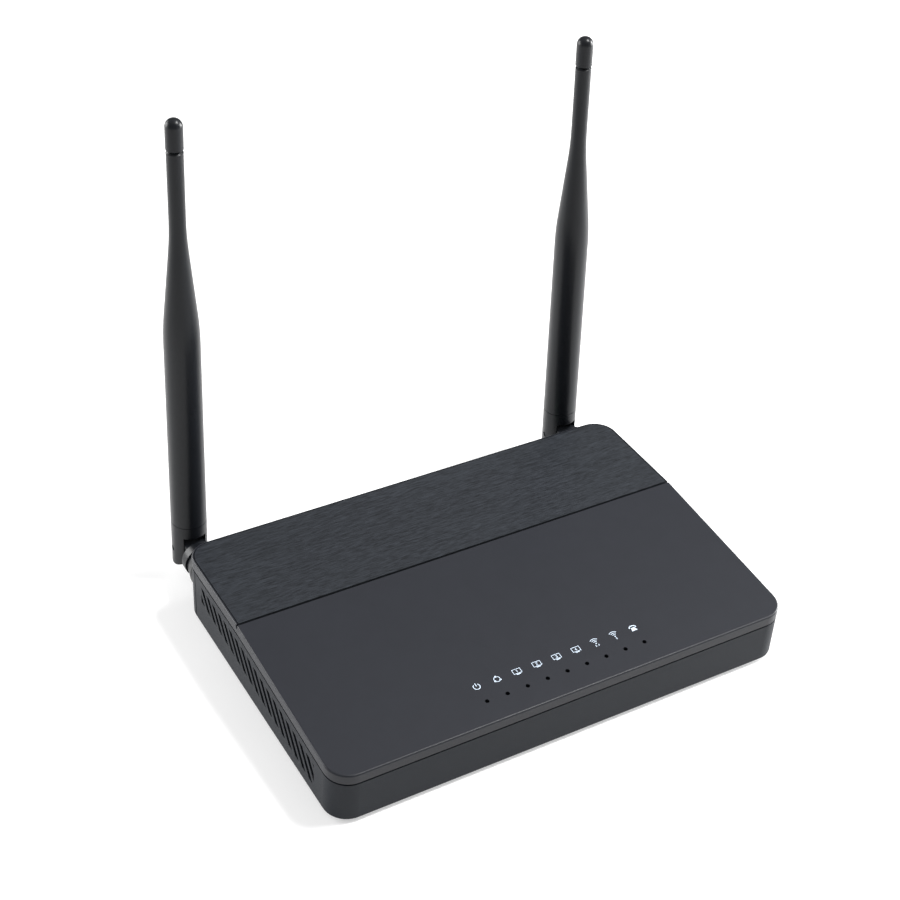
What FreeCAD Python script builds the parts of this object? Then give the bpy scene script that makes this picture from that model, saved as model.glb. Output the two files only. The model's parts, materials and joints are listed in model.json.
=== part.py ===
import FreeCAD, Part
import math
import os
import re
import Sketcher

# Optical network terminal: a low sloping case on four feet, with two hinged
# whip antennas on its rear wall.  Millimetres, +Z up, front of the case to -Y.
# The origin is on the surface it stands on, under the middle of the whole part.

doc = FreeCAD.newDocument("terminal")
Vec = FreeCAD.Vector

# ---------------------------------------------------------------- driving sizes
SIZES = {
    # case
    "case_width": 205.0, "case_depth": 136.8, "corner_radius": 9.8,
    "case_y": -13.5, "foot_height": 1.5, "wall": 2.0, "floor_thick": 2.0,
    "front_height": 23.3, "ridge_height": 29.5, "rear_height": 29.3, "ridge_y": 16.2,
    "rim_height": 4.3, "seam_gap": 0.7, "bottom_round": 1.0, "top_round": 0.7,
    "lid_thick": 2.6, "lip_inset": 2.15, "lip_thick": 1.2, "lip_drop": 2.5,
    "groove_width": 1.1, "groove_deep": 2.0, "panel_thick": 1.0, "panel_inset": 0.8, "panel_gap": 0.3,
    "parting_y": 57.7, "parting_gap": 0.5, "fit_gap": 0.15, "seat_gap": 0.02,
    # slanted slots in the side walls; heights from the case's underside
    "slot_pitch": 5.46, "slot_wide": 2.9, "slot_lean": 0.74, "slot_first_y": 50.4,
    "slot_rear_y": 51.8, "slot_front_y": -51.1, "slot_below_seam": 3.2,
    "slot_low_rear": 13.3, "slot_low_front": 5.2,
    # feet, screws, board posts
    "foot_radius": 5.0, "foot_x": 80.0, "foot_y": 48.0, "foot_recess": 0.8, "foot_gap": 0.2,
    "screw_x": 88.0, "screw_front_y": -57.0, "screw_rear_y": 22.0,
    "post_radius": 4.0, "post_top": 10.0, "counterbore_radius": 3.1, "counterbore_depth": 7.0,
    "screw_hole_radius": 1.7, "case_screw_radius": 1.45, "case_head_radius": 2.8,
    "case_head_height": 2.2, "case_screw_length": 10.0, "pilot_radius": 1.5,
    "board_length": 166.0, "board_width": 127.0, "board_thick": 1.6, "board_z": 5.5,
    "board_post_radius": 3.2, "board_screw_x": 77.0, "board_front_y": -52.0,
    "board_rear_y": 30.0, "board_screw_radius": 1.2, "board_hole_radius": 1.4,
    "board_head_radius": 2.4, "board_head_height": 1.6, "board_screw_length": 4.6,
    "recess_wide": 0.6, "recess_deep": 0.7,
    # wall-hanging keyholes and the blank rating plate under the case
    "keyhole_x": 60.0, "keyhole_y": -30.0, "keyhole_radius": 4.0, "keyhole_slot": 2.0,
    "keyhole_length": 9.0, "keyhole_clearance": 7.0,
    "plate_length": 70.0, "plate_width": 42.0, "plate_thick": 0.3, "plate_gap": 0.2,
    # indicators
    "led_pitch": 9.01, "led_x": 2.6, "led_y": -58.1, "led_hole_radius": 0.9,
    "guide_radius": 0.7, "guide_bar_width": 3.0, "guide_bar_height": 2.0, "guide_bar_z": 10.6,
    "guide_drop": 1.6, "guide_air": 0.3,
    "led_size": 1.6, "led_height": 0.8,
    # antenna swivel on the rear wall
    "antenna_x": 92.4, "antenna_z": 13.6, "pivot_back": 19.5,
    "left_lean": 0.6, "right_lean": -2.1,
    "socket_radius": 8.1, "socket_tip_radius": 6.7, "socket_length": 6.0, "spigot_radius": 6.2,
    "spigot_gap": 0.1, "spigot_inside": 3.4, "shaft_radius": 4.0, "shaft_gap": 0.05,
    "shaft_inside": 6.4, "lead_hole_radius": 0.9,
    "collar_start": 6.3, "collar_end": 10.0, "collar_radius": 7.5,
    "clip_radius": 6.0, "clip_thick": 1.0, "clip_seat": 3.4, "clip_play": 0.05,
    "clip_groove": 0.6, "clip_mouth": 5.6,
    # antenna fork and whip, heights from the hinge pin
    "tongue_thick": 9.2, "tongue_radius": 4.6, "slot_width": 9.8, "slot_top": 7.9,
    "fork_radius": 7.5, "fork_top": 13.2, "fork_drop": 0.3, "fork_spigot_radius": 5.4,
    "fork_spigot_height": 6.0, "pin_radius": 1.2, "pin_gap": 0.05, "pin_half": 7.15,
    "whip_seam": 0.25, "whip_radius": 7.25, "taper_low": 107.5, "taper_high": 148.5,
    "stem_radius": 3.3, "taper_round": 140.0, "whip_wall": 1.2,
    "cap_start": 183.9, "cap_radius": 3.4, "cap_round": 3.3, "cap_bevel": 0.6,
    "whip_tip": 196.5, "cap_plug": 6.0, "plug_gap": 0.05,
    "element_radius": 1.5, "element_end": 172.0,
    # rear connectors: width, height and length of each housing
    "lan_width": 16.0, "lan_height": 13.4, "lan_length": 21.3, "lan_x": -24.0, "lan_pitch": 16.6,
    "lan_mouth_width": 11.8, "lan_mouth_height": 7.0, "lan_mouth_low": 4.6, "lan_mouth_depth": 14.0,
    "lan_notch_width": 6.4, "lan_notch_drop": 2.4,
    "phone_width": 13.2, "phone_height": 12.6, "phone_length": 18.0, "phone_x": 44.0,
    "phone_mouth_width": 9.8, "phone_mouth_height": 6.8, "phone_mouth_low": 4.0,
    "phone_mouth_depth": 12.0, "phone_notch_width": 6.0, "phone_notch_drop": 2.0,
    "fibre_width": 12.9, "fibre_height": 11.2, "fibre_length": 24.0, "fibre_x": 66.0,
    "fibre_mouth_width": 9.2, "fibre_mouth_height": 7.6, "fibre_mouth_depth": 16.0,
    "ferrule_radius": 1.6, "ferrule_length": 11.0, "ferrule_z": 14.0,
    "power_width": 9.0, "power_height": 11.2, "power_length": 14.0, "power_x": -56.0,
    "power_bore": 3.2, "power_bore_depth": 9.5, "power_pin": 1.05, "power_pin_length": 9.0,
    "contact_width": 0.45, "contact_thick": 0.3, "contact_pitch": 1.02, "contact_length": 7.5,
    "contact_setback": 4.0, "contact_drop": 0.9, "jack_gap": 0.2, "jack_recess": 0.3,
    "fibre_key_width": 2.4, "fibre_key_height": 1.0, "ferrule_wall": 0.35, "ferrule_end": 1.0,
    # push buttons: cap radius, how far the cap stands out of the panel, travel
    "power_button_x": -71.0, "power_cap_radius": 4.2, "power_cap_reach": 3.0, "power_travel": 2.0,
    "wireless_button_x": -37.6, "wireless_cap_radius": 2.6, "wireless_cap_reach": 1.4,
    "wireless_travel": 0.6,
    "reset_button_x": -46.5, "reset_cap_radius": 0.9, "reset_cap_reach": -1.2, "reset_travel": 0.4,
    "button_z": 14.0, "flange_thick": 1.2, "flange_extra": 0.9, "flange_gap": 0.1,
    "button_gap": 0.25, "button_stem": 1.5, "stem_length": 7.0, "stem_gap": 0.2,
    "switch_width": 8.0, "switch_length": 9.0, "switch_cover": 3.5, "switch_gap": 0.4,
    "switch_bore": 7.9,
    # parts on the board
    "fin_pitch": 4.05, "fin_thick": 1.2, "fin_height": 7.0, "shield_wall": 0.3,
    "nose_radius": 2.6, "nose_length": 5.5,
    "nose_drop": 1.6, "coax_x": 72.0, "fibre_lead_radius": 0.45, "coax_lead_radius": 0.6,
}

# Blocks that stand on the board: length, width, height, x, y (y from the case centre).
BLOCKS = {
    "processor": (17.0, 17.0, 1.4, -4.0, 2.0),
    "thermal_pad": (15.0, 15.0, 0.8, -4.0, 2.0),
    "sink_base": (38.0, 34.0, 1.6, -4.0, 2.0),
    "memory_large": (13.0, 9.0, 1.1, -4.0, -24.0),
    "memory_small": (8.0, 6.0, 1.0, 13.0, -23.0),
    "radio_shield_left": (38.0, 28.0, 3.0, -50.0, 4.0),
    "radio_shield_right": (36.0, 26.0, 3.0, 46.0, -4.0),
    "radio_chip_left": (8.0, 8.0, 0.9, -50.0, 4.0),
    "radio_chip_right": (8.0, 8.0, 0.9, 46.0, -4.0),
    "transformer_left": (15.0, 11.0, 6.0, -15.7, 36.0),
    "transformer_right": (15.0, 11.0, 6.0, 17.5, 36.0),
    "inductor_rear_left": (7.0, 7.0, 4.0, -66.0, 26.0),
    "inductor_rear_right": (7.0, 7.0, 4.0, -54.0, 26.0),
    "inductor_front": (7.0, 7.0, 4.0, 30.0, -30.0),
    "coax_left": (3.2, 3.2, 2.4, -72.0, 20.3),
    "coax_right": (3.2, 3.2, 2.4, 72.0, 20.3),
    "optical_module": (12.0, 15.0, 9.2, 38.0, 31.0),
}

# Electrolytic capacitors: radius, height, x, y.
CANS = {
    "can_large_left": (4.0, 11.0, -68.0, 38.0),
    "can_large_right": (4.0, 11.0, -58.0, 38.0),
    "can_rear": (3.15, 8.0, -48.0, 38.0),
    "can_front": (3.15, 8.0, -74.0, -20.0),
    "can_small": (2.5, 7.0, 16.0, -30.0),
}
for table, words in ((BLOCKS, ("length", "width", "height", "x", "y")),
                     (CANS, ("radius", "height", "x", "y"))):
    for item, numbers in table.items():
        for word, number in zip(words, numbers):
            SIZES[item + "_" + word] = number


def make_sheet():
    """Write every driving size into the spreadsheet under its own name."""
    sheet = doc.addObject("Spreadsheet::Sheet", "Size")
    for row, (alias, number) in enumerate(SIZES.items(), start=1):
        sheet.set("A%d" % row, alias.replace("_", " "))
        sheet.set("B%d" % row, str(number))
        sheet.setAlias("B%d" % row, alias)
    doc.recompute()
    return sheet


SHEET = make_sheet()


def size(alias):
    """A driving size as a number, read back from the sheet."""
    return float(SHEET.get(alias))


def formula(text):
    """Turn the names of driving sizes in a formula into references to the sheet."""
    def refer(match):
        word = match.group(0)
        return "Size." + word if word in SIZES else word
    return re.sub(r"[a-z][a-z_0-9]*", refer, str(text))


def bind(thing, **properties):
    """Bind properties of an object to formulas of the driving sizes."""
    for name, text in properties.items():
        thing.setExpression(name, formula(text))
    return thing


def place(thing, x="0", y="0", z="0", angle=0, axis=Vec(0, 0, 1)):
    """Turn an object about an axis and bind its position."""
    thing.Placement = FreeCAD.Placement(Vec(), FreeCAD.Rotation(axis, angle))
    for key, text in zip("xyz", (x, y, z)):
        thing.setExpression(".Placement.Base." + key, formula(text))
    return thing


# ------------------------------------------------------------- building blocks
def box(name, length, width, height, x="0", y="0", z="0"):
    """A block centred in X and Y on (x, y), with its underside at z."""
    block = doc.addObject("Part::Box", name)
    bind(block, Length=length, Width=width, Height=height)
    return place(block, "(%s) - (%s) / 2" % (x, length), "(%s) - (%s) / 2" % (y, width), z)


TURN = {"x": (90, Vec(0, 1, 0)), "y": (-90, Vec(1, 0, 0)), "z": (0, Vec(0, 0, 1))}


def rod(name, radius, length, x="0", y="0", z="0", along="z"):
    """A cylinder that starts at (x, y, z) and runs along +X, +Y or +Z."""
    cylinder = doc.addObject("Part::Cylinder", name)
    bind(cylinder, Radius=radius, Height=length)
    return place(cylinder, x, y, z, *TURN[along])


def cone(name, first_radius, last_radius, length, x="0", y="0", z="0", along="z"):
    """A cone that starts at (x, y, z) and runs along +X, +Y or +Z."""
    solid = doc.addObject("Part::Cone", name)
    bind(solid, Radius1=first_radius, Radius2=last_radius, Height=length)
    return place(solid, x, y, z, *TURN[along])


def group(name, parts):
    """Several separate solids kept together."""
    compound = doc.addObject("Part::Compound", name)
    compound.Links = parts
    return compound


def fuse(name, parts):
    """One solid out of several that touch."""
    union = doc.addObject("Part::MultiFuse", name)
    union.Shapes = parts
    union.Refine = True
    return union


def common(name, first, second):
    """What two solids share."""
    shared = doc.addObject("Part::MultiCommon", name)
    shared.Shapes = [first, second]
    return shared


def cut(name, base, tools):
    """A solid with every tool taken out of it."""
    tool = tools[0] if len(tools) == 1 else group(name + "_tools", tools)
    difference = doc.addObject("Part::Cut", name)
    difference.Base = base
    difference.Tool = tool
    difference.Refine = True
    return difference


def origin_plane(body, role):
    """The body's own XY, XZ or YZ plane."""
    return [item for item in body.Origin.OriginFeatures if item.Role == role][0]


def new_sketch(body, role, name):
    """An empty sketch on one of the body's own planes."""
    sketch = body.newObject("Sketcher::SketchObject", name)
    sketch.AttachmentSupport = [(origin_plane(body, role), "")]
    sketch.MapMode = "FlatFace"
    return sketch


def fix_number(sketch, kind, items, name, text, drawn):
    """A named dimension of a sketch, first set as drawn and then bound to a formula."""
    index = sketch.addConstraint(Sketcher.Constraint(kind, *items, drawn))
    sketch.renameConstraint(index, name)
    sketch.setExpression("Constraints." + name, formula(text))


def draw_rounded(sketch, width, depth, radius):
    """A rounded rectangle round the sketch's origin."""
    start, end = Vec(-20, -10, 0), Vec(20, 10, 0)
    corner = 5.0
    xs, ys = (start.x, end.x), (start.y, end.y)
    points = [
        (Vec(xs[0] + corner, ys[0], 0), Vec(xs[1] - corner, ys[0], 0)),
        (Vec(xs[1], ys[0] + corner, 0), Vec(xs[1], ys[1] - corner, 0)),
        (Vec(xs[1] - corner, ys[1], 0), Vec(xs[0] + corner, ys[1], 0)),
        (Vec(xs[0], ys[1] - corner, 0), Vec(xs[0], ys[0] + corner, 0)),
    ]
    centres = [
        Vec(xs[1] - corner, ys[0] + corner, 0), Vec(xs[1] - corner, ys[1] - corner, 0),
        Vec(xs[0] + corner, ys[1] - corner, 0), Vec(xs[0] + corner, ys[0] + corner, 0),
    ]
    for first, last in points:
        sketch.addGeometry(Part.LineSegment(first, last), False)
    for turn, centre in enumerate(centres):
        circle = Part.Circle(centre, Vec(0, 0, 1), corner)
        from_angle = math.radians(-90 + 90 * turn)
        sketch.addGeometry(Part.ArcOfCircle(circle, from_angle, from_angle + math.pi / 2), False)
    for side in range(4):
        arc = 4 + side
        sketch.addConstraint(Sketcher.Constraint("Tangent", side, 2, arc, 1))
        sketch.addConstraint(Sketcher.Constraint("Tangent", arc, 2, (side + 1) % 4, 1))
    for side in (0, 2):
        sketch.addConstraint(Sketcher.Constraint("Horizontal", side))
        sketch.addConstraint(Sketcher.Constraint("Vertical", side + 1))
    for arc in (5, 6, 7):
        sketch.addConstraint(Sketcher.Constraint("Equal", 4, arc))
    sketch.addConstraint(Sketcher.Constraint("Symmetric", 7, 3, 5, 3, -1, 1))
    fix_number(sketch, "Radius", (4,), "corner", radius, corner)
    fix_number(sketch, "DistanceX", (7, 3, 4, 3), "span_x", "(%s) - 2 * (%s)" % (width, radius),
               xs[1] - xs[0] - 2 * corner)
    fix_number(sketch, "DistanceY", (4, 3, 5, 3), "span_y", "(%s) - 2 * (%s)" % (depth, radius),
               ys[1] - ys[0] - 2 * corner)


def plan_prism(name, inset, low, high, round_low=None):
    """An upright prism with the case's outline, drawn in by an inset."""
    body = doc.addObject("PartDesign::Body", name)
    place(body, "0", "case_y", low)
    sketch = new_sketch(body, "XY_Plane", name + "_outline")
    draw_rounded(sketch, "case_width - 2 * (%s)" % inset, "case_depth - 2 * (%s)" % inset,
                 "corner_radius - (%s)" % inset)
    pad = body.newObject("PartDesign::Pad", name + "_pad")
    pad.Profile = sketch
    bind(pad, Length="(%s) - (%s)" % (high, low))
    if round_low:
        doc.recompute()
        edges = ["Edge%d" % (number + 1) for number, edge in enumerate(pad.Shape.Edges)
                 if edge.BoundBox.ZMax < pad.Shape.BoundBox.ZMin + 0.01]
        fillet = body.newObject("PartDesign::Fillet", name + "_round")
        fillet.Base = (pad, edges)
        bind(fillet, Radius=round_low)
    return body


def draw_polygon(sketch, corners):
    """A closed polygon whose corners are pairs of formulas."""
    count = len(corners)
    guess = [Vec(30 * math.cos(2 * math.pi * k / count), 30 * math.sin(2 * math.pi * k / count), 0)
             for k in range(count)]
    for k in range(count):
        sketch.addGeometry(Part.LineSegment(guess[k], guess[(k + 1) % count]), False)
    for k in range(count):
        sketch.addConstraint(Sketcher.Constraint("Coincident", k, 2, (k + 1) % count, 1))
    for k, (across, up) in enumerate(corners):
        fix_number(sketch, "DistanceX", (-1, 1, k, 1), "across_%d" % k, across, guess[k].x)
        fix_number(sketch, "DistanceY", (-1, 1, k, 1), "up_%d" % k, up, guess[k].y)


def side_prism(name, corners):
    """A side view, as pairs of y and z formulas, drawn out right across the case."""
    body = doc.addObject("PartDesign::Body", name)
    sketch = new_sketch(body, "YZ_Plane", name + "_outline")
    draw_polygon(sketch, corners)
    pad = body.newObject("PartDesign::Pad", name + "_pad")
    pad.Profile = sketch
    pad.Midplane = True
    bind(pad, Length="case_width + 20")
    return body


def below_top(name, drop, low):
    """Everything under the sloping top line, lowered by a drop, and above low."""
    front, rear = "case_y - case_depth / 2 - 10", "case_y + case_depth / 2 + 10"
    slope = "(ridge_height - front_height) / (case_depth / 2 + ridge_y)"
    return side_prism(name, [
        (front, low),
        (rear, low),
        (rear, "foot_height + rear_height - (%s)" % drop),
        ("case_y + ridge_y", "foot_height + ridge_height - (%s)" % drop),
        (front, "foot_height + front_height - 10 * %s - (%s)" % (slope, drop)),
    ])


def top_at(y):
    """Height of the case's top above the floor it stands on, y from the case centre."""
    if y >= size("ridge_y"):
        share = (y - size("ridge_y")) / (size("case_depth") / 2 - size("ridge_y"))
        rise = size("ridge_height") + share * (size("rear_height") - size("ridge_height"))
    else:
        share = (y + size("case_depth") / 2) / (size("ridge_y") + size("case_depth") / 2)
        rise = size("front_height") + share * (size("ridge_height") - size("front_height"))
    return size("foot_height") + rise


# ------------------------------------------------------------------- the parts
PARTS = []


def keep(label, thing):
    """Give a finished sub-part its name and put it on the list."""
    thing.Label = label
    PARTS.append(thing)
    return thing


CASE_FRONT = "case_y - case_depth / 2"
CASE_REAR = "case_y + case_depth / 2"
BOARD_TOP = "foot_height + board_z + board_thick"
CORNERS = [("screw_x", "screw_front_y"), ("-screw_x", "screw_front_y"),
           ("screw_x", "screw_rear_y"), ("-screw_x", "screw_rear_y")]
BOARD_CORNERS = [("board_screw_x", "board_front_y"), ("-board_screw_x", "board_front_y"),
                 ("board_screw_x", "board_rear_y"), ("-board_screw_x", "board_rear_y")]
FEET = [("foot_x", "foot_y"), ("-foot_x", "foot_y"), ("foot_x", "-foot_y"), ("-foot_x", "-foot_y")]


def vent_slots(side):
    """Slanted slots through one side wall, trimmed to a band that follows the seam."""
    def point(y, z):
        return Vec(0, size("case_y") + y, size("foot_height") + z)

    def seam(y):
        return top_at(y) - size("foot_height") - size("rim_height") - size("seam_gap")

    rear, front, ridge = size("slot_rear_y"), size("slot_front_y"), size("ridge_y")
    drop = size("slot_below_seam")
    band = Part.makePolygon([
        point(rear, size("slot_low_rear")), point(rear, seam(rear) - drop),
        point(ridge, seam(ridge) - drop), point(front, seam(front) - drop),
        point(front, size("slot_low_front")), point(rear, size("slot_low_rear"))])
    depth = Vec(size("wall") + 2, 0, 0)
    start = Vec(side * size("case_width") / 2 - (depth.x if side > 0 else 0), 0, 0)
    start.x += 1 if side > 0 else -1
    band_solid = Part.Face(band).extrude(depth)
    stripes = []
    high, low, half = seam(ridge) + 2, 0.0, size("slot_wide") / 2
    count = int((rear - front) / size("slot_pitch")) + 4
    for number in range(-1, count):
        middle = size("slot_first_y") - number * size("slot_pitch")
        upper = middle + size("slot_lean") * (high - seam(rear) + drop)
        lower = middle + size("slot_lean") * (low - seam(rear) + drop)
        outline = [point(upper + half, high), point(upper - half, high),
                   point(lower - half, low), point(lower + half, low)]
        stripe = Part.Face(Part.makePolygon(outline + outline[:1])).extrude(depth)
        piece = stripe.common(band_solid)
        if piece.Volume > 1.0:
            stripes.extend(piece.Solids)
    slots = Part.makeCompound(stripes)
    slots.translate(start)
    thing = doc.addObject("Part::Feature", "slots_%s" % ("right" if side > 0 else "left"))
    thing.Shape = slots
    return thing


def keyhole(name, x):
    """A round entry and a narrow slot towards the front, through the floor."""
    entry = rod(name + "_entry", "keyhole_radius", "floor_thick + 2", x, "case_y + keyhole_y",
                "foot_height - 1")
    slot = box(name + "_slot", "2 * keyhole_slot", "keyhole_length", "floor_thick + 2",
               x, "case_y + keyhole_y - keyhole_length / 2", "foot_height - 1")
    return [entry, slot]


def make_base_shell():
    """Lower tray: floor, side and front walls, vents, posts, keyholes and foot recesses."""
    drop = "rim_height + seam_gap"
    outer = plan_prism("base_outer", "0", "foot_height", "foot_height + 32", "bottom_round")
    inner = plan_prism("base_inner", "wall", "foot_height + floor_thick", "foot_height + 40")
    tray = cut("base_tray", outer, [inner])
    low = common("base_low", tray, below_top("base_side", drop, "0"))
    rear_box = box("rear_zone_box", "case_width + 20", "case_depth / 2 - parting_y + 10", "60",
                   "0", "case_y + (case_depth / 2 + parting_y + 10) / 2", "foot_height - 10")
    floor_tongue = plan_prism("rear_zone_floor", "wall + fit_gap", "foot_height - 20", "foot_height + 60")
    rear_zone = cut("rear_zone", rear_box, [floor_tongue])
    open_tray = cut("base_open", low, [rear_zone])
    posts = [rod("post_%d" % k, "post_radius", "post_top - 1", x, "case_y + " + y, "foot_height + 1")
             for k, (x, y) in enumerate(CORNERS)]
    posts += [rod("board_post_%d" % k, "board_post_radius", "board_z - 1", x, "case_y + " + y,
                  "foot_height + 1") for k, (x, y) in enumerate(BOARD_CORNERS)]
    solid = fuse("base_solid", [open_tray] + posts)
    holes = [vent_slots(-1), vent_slots(1)]
    for k, (x, y) in enumerate(CORNERS):
        holes.append(rod("counterbore_%d" % k, "counterbore_radius", "counterbore_depth + 1", x,
                         "case_y + " + y, "foot_height - 1"))
        holes.append(rod("screw_hole_%d" % k, "screw_hole_radius", "post_top + 2", x,
                         "case_y + " + y, "foot_height"))
    for k, (x, y) in enumerate(BOARD_CORNERS):
        holes.append(rod("board_pilot_%d" % k, "board_screw_radius + 0.05", "board_z", x,
                         "case_y + " + y, "foot_height + 1.2"))
    for k, (x, y) in enumerate(FEET):
        holes.append(rod("foot_hole_%d" % k, "foot_radius + foot_gap", "foot_recess + 1", x,
                         "case_y + " + y, "foot_height - 1"))
    holes += keyhole("keyhole_right", "keyhole_x") + keyhole("keyhole_left", "-keyhole_x")
    holes.append(box("plate_recess", "plate_length + 2 * plate_gap", "plate_width + 2 * plate_gap",
                     "plate_thick + 1", "0", "case_y", "foot_height - 1"))
    return keep("base_shell", cut("base_shell", solid, holes))


def make_top_cover():
    """Upper shell: rim, sloping matte front, recess and groove for the rear panel."""
    body = doc.addObject("PartDesign::Body", "cover_block")
    place(body, "0", "case_y", "foot_height")
    sketch = new_sketch(body, "XY_Plane", "cover_outline")
    draw_rounded(sketch, "case_width", "case_depth", "corner_radius")
    pad = body.newObject("PartDesign::Pad", "cover_pad")
    pad.Profile = sketch
    bind(pad, Length="40")
    side = new_sketch(body, "YZ_Plane", "cover_side")
    slope = "(ridge_height - front_height) / (case_depth / 2 + ridge_y)"
    draw_polygon(side, [
        ("-case_depth / 2 - 10", "front_height - 10 * %s" % slope),
        ("ridge_y", "ridge_height"),
        ("case_depth / 2 + 10", "rear_height"),
        ("case_depth / 2 + 10", "60"),
        ("-case_depth / 2 - 10", "60"),
    ])
    pocket = body.newObject("PartDesign::Pocket", "cover_slope")
    pocket.Profile = side
    pocket.Midplane = True
    bind(pocket, Length="case_width + 40")
    doc.recompute()
    edges = []
    for number, edge in enumerate(pocket.Shape.Edges):
        middle = edge.valueAt((edge.FirstParameter + edge.LastParameter) / 2)
        level = min(edge.BoundBox.ZMin, middle.z) > 20.0
        if level and not (edge.BoundBox.XLength > 180 and abs(middle.y) < 40):
            edges.append("Edge%d" % (number + 1))
    fillet = body.newObject("PartDesign::Fillet", "cover_round")
    fillet.Base = (pocket, edges)
    bind(fillet, Radius="top_round")
    above_seam = side_prism("cover_band", [
        (CASE_FRONT + " - 10", "foot_height + front_height - 10 * %s - rim_height" % slope),
        ("case_y + ridge_y", "foot_height + ridge_height - rim_height"),
        (CASE_REAR + " + 10", "foot_height + rear_height - rim_height"),
        (CASE_REAR + " + 10", "80"),
        (CASE_FRONT + " - 10", "80"),
    ])
    shell = common("cover_shell", body, above_seam)
    hollow_plan = plan_prism("cover_hollow_plan", "wall", "foot_height", "foot_height + 40")
    hollow = common("cover_hollow", hollow_plan, below_top("cover_hollow_side", "lid_thick", "0"))
    lid = cut("cover_lid", shell, [hollow])
    lip_outer = plan_prism("lip_outer", "lip_inset", "foot_height", "foot_height + 40")
    lip_inner = plan_prism("lip_inner", "lip_inset + lip_thick", "foot_height - 1", "foot_height + 41")
    lip_ring = cut("lip_ring", lip_outer, [lip_inner])
    lip_band = cut("lip_band", below_top("lip_high", "lid_thick - 0.5", "0"),
                   [below_top("lip_low", "rim_height + lip_drop", "-1")])
    lip = common("cover_lip", lip_ring, lip_band)
    bosses = [rod("boss_%d" % k, "post_radius - 0.4", "40", x, "case_y + " + y,
                  "foot_height + post_top + 0.1") for k, (x, y) in enumerate(CORNERS)]
    boss_group = common("cover_bosses", group("boss_group", bosses),
                        below_top("boss_high", "lid_thick - 0.5", "0"))
    solid = fuse("cover_solid", [lid, lip, boss_group])
    pocket_plan = plan_prism("panel_pocket_plan", "panel_inset", "foot_height", "foot_height + 60")
    panel_region = side_prism("panel_region", [
        ("case_y + ridge_y", "foot_height + ridge_height - panel_thick"),
        (CASE_REAR + " + 10", "foot_height + rear_height - panel_thick"),
        (CASE_REAR + " + 10", "80"),
        ("case_y + ridge_y", "80"),
    ])
    recess = common("panel_recess", pocket_plan, panel_region)
    groove = box("cover_groove", "case_width + 10", "groove_width", "20", "0",
                 "case_y + ridge_y + groove_width / 2 - 0.001",
                 "foot_height + ridge_height - groove_deep")
    holes = [recess, groove]
    for k in range(9):
        holes.append(rod("led_hole_%d" % k, "led_hole_radius", "40", "led_x + %d * led_pitch" % (k - 4),
                         "case_y + led_y", "foot_height"))
    for k, (x, y) in enumerate(CORNERS):
        holes.append(rod("boss_pilot_%d" % k, "pilot_radius", "case_screw_length - 2", x,
                         "case_y + " + y, "foot_height + post_top"))
    return keep("top_cover", cut("top_cover", solid, holes))


def make_brushed_panel():
    """Thin inlaid plate behind the groove."""
    plan = plan_prism("panel_plan", "panel_inset + panel_gap", "foot_height", "foot_height + 60")
    side = side_prism("panel_side", [
        ("case_y + ridge_y + groove_width", "foot_height + ridge_height - panel_thick"),
        (CASE_REAR + " + 10", "foot_height + rear_height - panel_thick"),
        (CASE_REAR + " + 10", "foot_height + rear_height"),
        ("case_y + ridge_y + groove_width", "foot_height + ridge_height"),
    ])
    return keep("brushed_panel", common("brushed_panel", plan, side))


# -------------------------------------------------------- rear panel and sockets
LAN_X = ["lan_x + %d * lan_pitch" % k for k in range(4)]
PORTS = [("lan", x) for x in LAN_X] + [("phone", "phone_x"), ("fibre", "fibre_x"), ("power", "power_x")]
BUTTONS = {"power": "power_button_x", "wireless": "wireless_button_x", "reset": "reset_button_x"}


def make_rear_panel():
    """Rear wall that wraps both corners, cut out for the sockets, buttons and antennas."""
    outer = plan_prism("rear_outer", "0", "foot_height", "foot_height + 32", "bottom_round")
    inner = plan_prism("rear_inner", "wall", "foot_height - 5", "foot_height + 40")
    ring = cut("rear_ring", outer, [inner])
    low = common("rear_low", ring, below_top("rear_side", "rim_height + seam_gap", "0"))
    zone = box("rear_part", "case_width + 20", "case_depth / 2 - parting_y + 10", "60", "0",
               "case_y + (case_depth / 2 + parting_y + 10) / 2 + parting_gap", "foot_height - 10")
    wall = common("rear_wall", low, zone)
    holes = []
    for number, (kind, x) in enumerate(PORTS):
        holes.append(box("port_hole_%d" % number, kind + "_width + 2 * jack_gap", "20",
                         kind + "_height + 2 * jack_gap", x, CASE_REAR, BOARD_TOP + " - jack_gap"))
    for kind in BUTTONS:
        holes.append(rod(kind + "_button_hole", kind + "_cap_radius + button_gap", "20",
                         BUTTONS[kind], CASE_REAR + " - 10", "foot_height + button_z", "y"))
    for side in ("", "-"):
        holes.append(rod("antenna_hole_%s" % ("left" if side else "right"), "spigot_radius + spigot_gap",
                         "20", side + "antenna_x", CASE_REAR + " - 10", "foot_height + antenna_z", "y"))
    return keep("rear_panel", cut("rear_panel", wall, holes))


def make_jack(label, kind, x):
    """A modular jack: a block with a mouth, a latch notch below it and a contact bay."""
    front = CASE_REAR + " - jack_recess"
    body = box(label + "_block", kind + "_width", kind + "_length", kind + "_height", x,
               front + " - %s_length / 2" % kind, BOARD_TOP)
    mouth_z = BOARD_TOP + " + %s_mouth_low" % kind
    middle = front + " - %s_mouth_depth / 2" % kind
    mouth = box(label + "_mouth", kind + "_mouth_width", kind + "_mouth_depth + 0.01",
                kind + "_mouth_height", x, middle, mouth_z)
    notch = box(label + "_notch", kind + "_notch_width", kind + "_mouth_depth + 0.01",
                kind + "_notch_drop + 0.01", x, middle, mouth_z + " - %s_notch_drop" % kind)
    throat = box(label + "_throat", kind + "_notch_width / 2", kind + "_mouth_depth + 0.01",
                 kind + "_notch_drop / 2 + 0.01", x, middle, mouth_z + " - 1.5 * %s_notch_drop" % kind)
    return keep(label, cut(label, body, [mouth, notch, throat]))


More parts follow.
